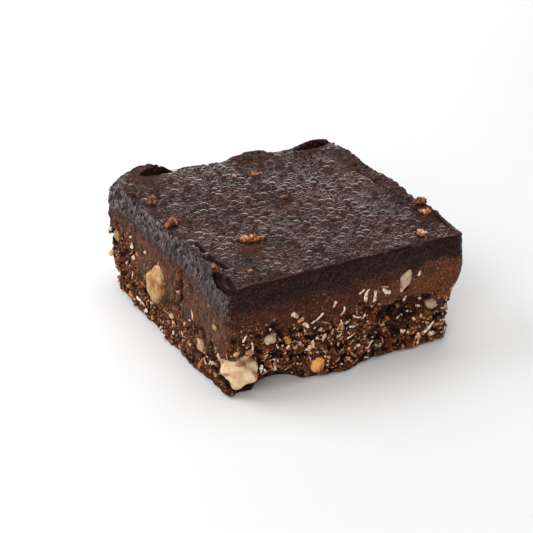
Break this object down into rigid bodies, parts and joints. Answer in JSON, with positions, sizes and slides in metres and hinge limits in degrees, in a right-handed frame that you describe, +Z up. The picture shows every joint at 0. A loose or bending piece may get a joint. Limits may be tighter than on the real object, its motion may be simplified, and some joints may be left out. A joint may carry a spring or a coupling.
{
  "type": "chocolate brownie",
  "caption": "Square of dense cocoa crumb with nut pieces and coconut flakes in its cut faces, under a thick layer of dark ganache with a dimpled top",
  "frame": {"origin": "under the middle of the square, on the surface that it rests on", "axes": "+Z up; +X along the front cut face, from left to right; +Y from the front cut face to the back one"},
  "size_m": [0.0674, 0.0713, 0.0307],
  "materials": {
    "ganache": "satin dark brown, finely dimpled on top",
    "crumb": "matt, coarse and crumbly",
    "nut_cream": "smooth and slightly waxy",
    "nut_amber": "smooth and slightly waxy",
    "nut_tan": "smooth and dry",
    "nut_grey": "smooth and slightly waxy"
  },
  "bodies": {
    "root": {"ganache": "ganache", "base": "crumb", "nut_front_corner": "nut_cream", "nut_left_large": "nut_amber", "nut_left_back": "nut_amber", "nut_left_small": "nut_tan", "nut_front_upper": "nut_grey", "nut_front_right": "nut_grey", "nut_front_low": "nut_tan", "nut_front_left": "nut_grey", "nut_right_large": "nut_cream", "nut_right_low": "nut_amber", "nut_back_large": "nut_cream", "nut_back_small": "nut_tan"}
  },
  "joints": []
}
